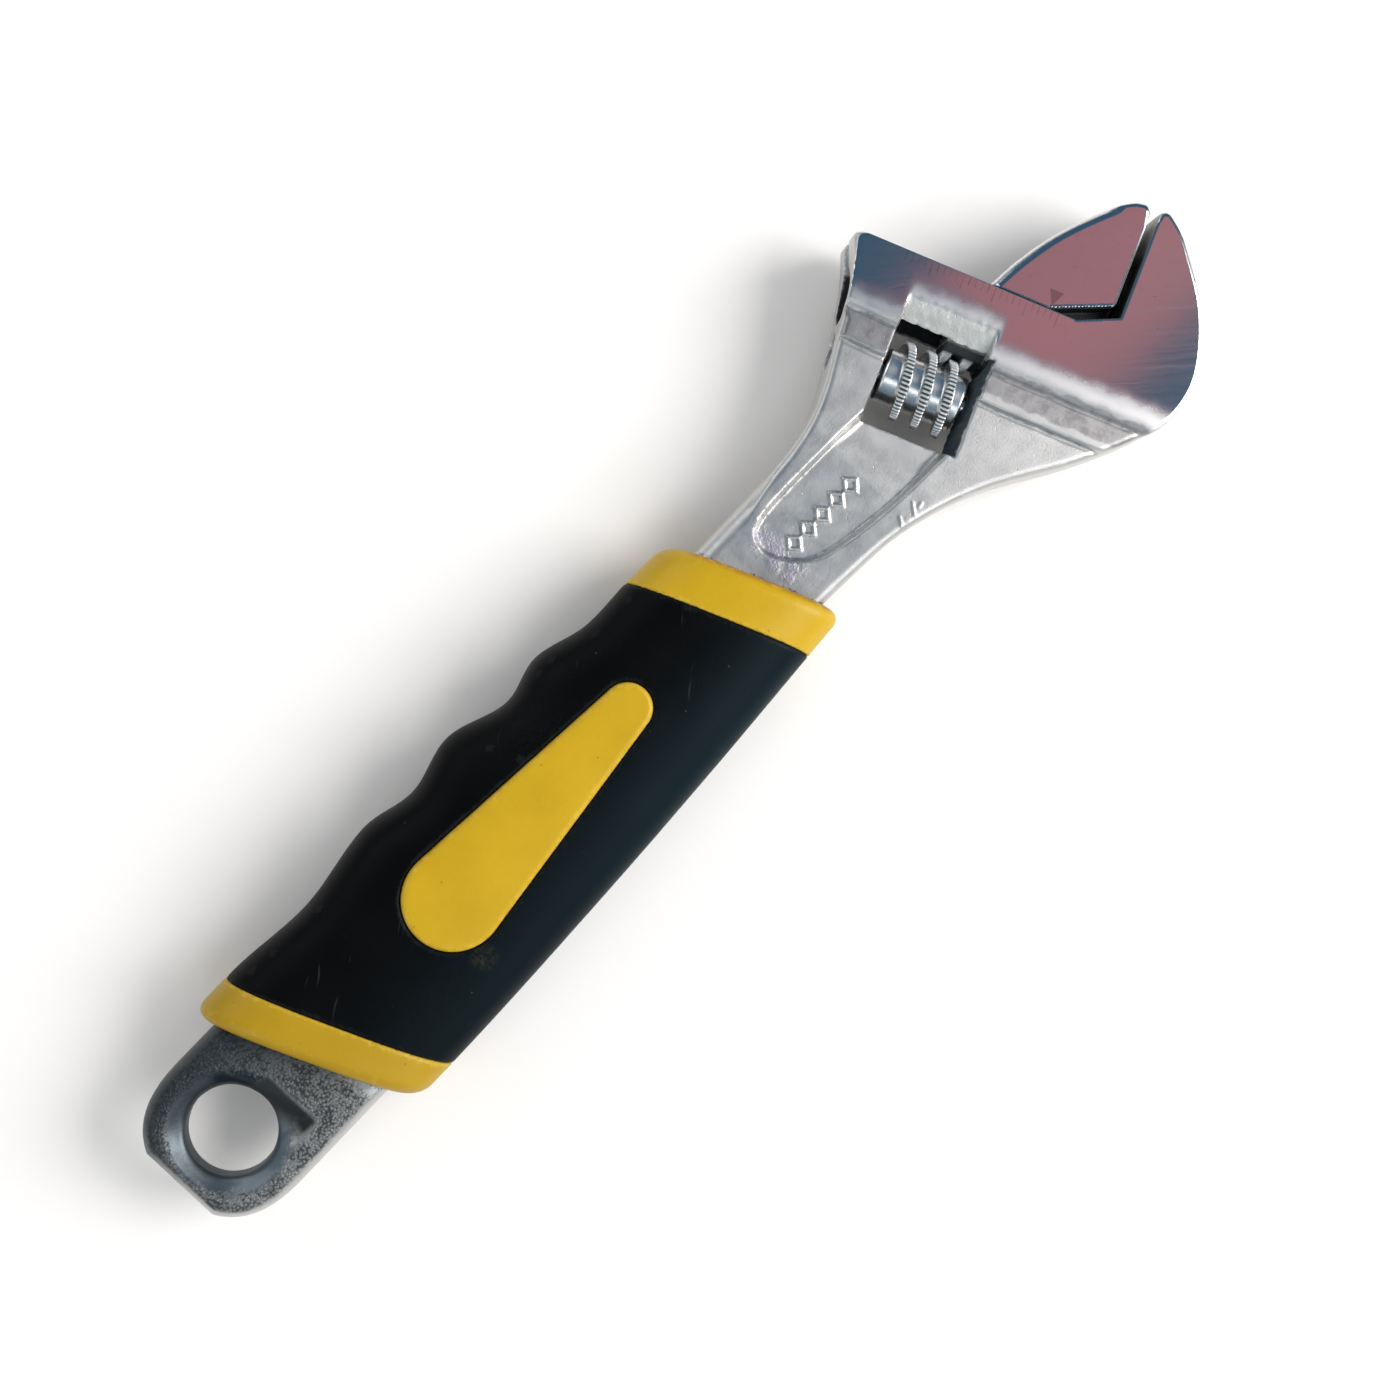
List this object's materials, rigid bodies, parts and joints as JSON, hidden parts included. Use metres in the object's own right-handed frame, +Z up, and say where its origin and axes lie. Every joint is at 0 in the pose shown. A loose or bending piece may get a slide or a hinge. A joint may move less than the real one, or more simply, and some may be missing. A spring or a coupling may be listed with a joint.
{
  "type": "adjustable wrench",
  "caption": "Adjustable wrench with an offset head, a sliding jaw moved by a knurled worm, a two-colour moulded grip with finger scallops, and a hang hole.",
  "frame": {"origin": "under the middle of the whole tool, on the surface its back lies on", "axes": "+X along the handle towards the head, +Z up out of the tool's face, +Y to the finger side of the grip"},
  "size_m": [0.2004, 0.0522, 0.0186],
  "materials": {
    "forged_steel": "satin plated forging, ground bright on the head's faces",
    "jaw_steel": "ground and bright plated",
    "worm_steel": "bright, knurled crests",
    "pin_steel": "turned",
    "spring_steel": "drawn wire",
    "yellow_moulding": "smooth, semi-matt",
    "black_moulding": "fine matt, soft"
  },
  "bodies": {
    "frame": {"body": "forged_steel", "grip_core": "yellow_moulding", "grip_cover": "black_moulding", "worm_pin": "pin_steel", "worm_spring": "spring_steel"},
    "jaw": {"movable_jaw": "jaw_steel"},
    "worm": {"worm": "worm_steel"}
  },
  "joints": [
    {"name": "jaw_slide", "type": "slide", "parent": "frame", "child": "jaw", "axis": [-0.3827, 0.9239, 0], "range_m": [-0.0013, 0.0226]},
    {"name": "worm_spin", "type": "hinge", "parent": "frame", "child": "worm", "pos_m": [0.05656, 0.00356, 0.0093], "axis": [0.3827, -0.9239, 0], "range_deg": [-145, 2440]}
  ],
  "couplings": [
    {"joint": "worm_spin", "follows": "jaw_slide", "rad_per_m": 1875.6}
  ]
}
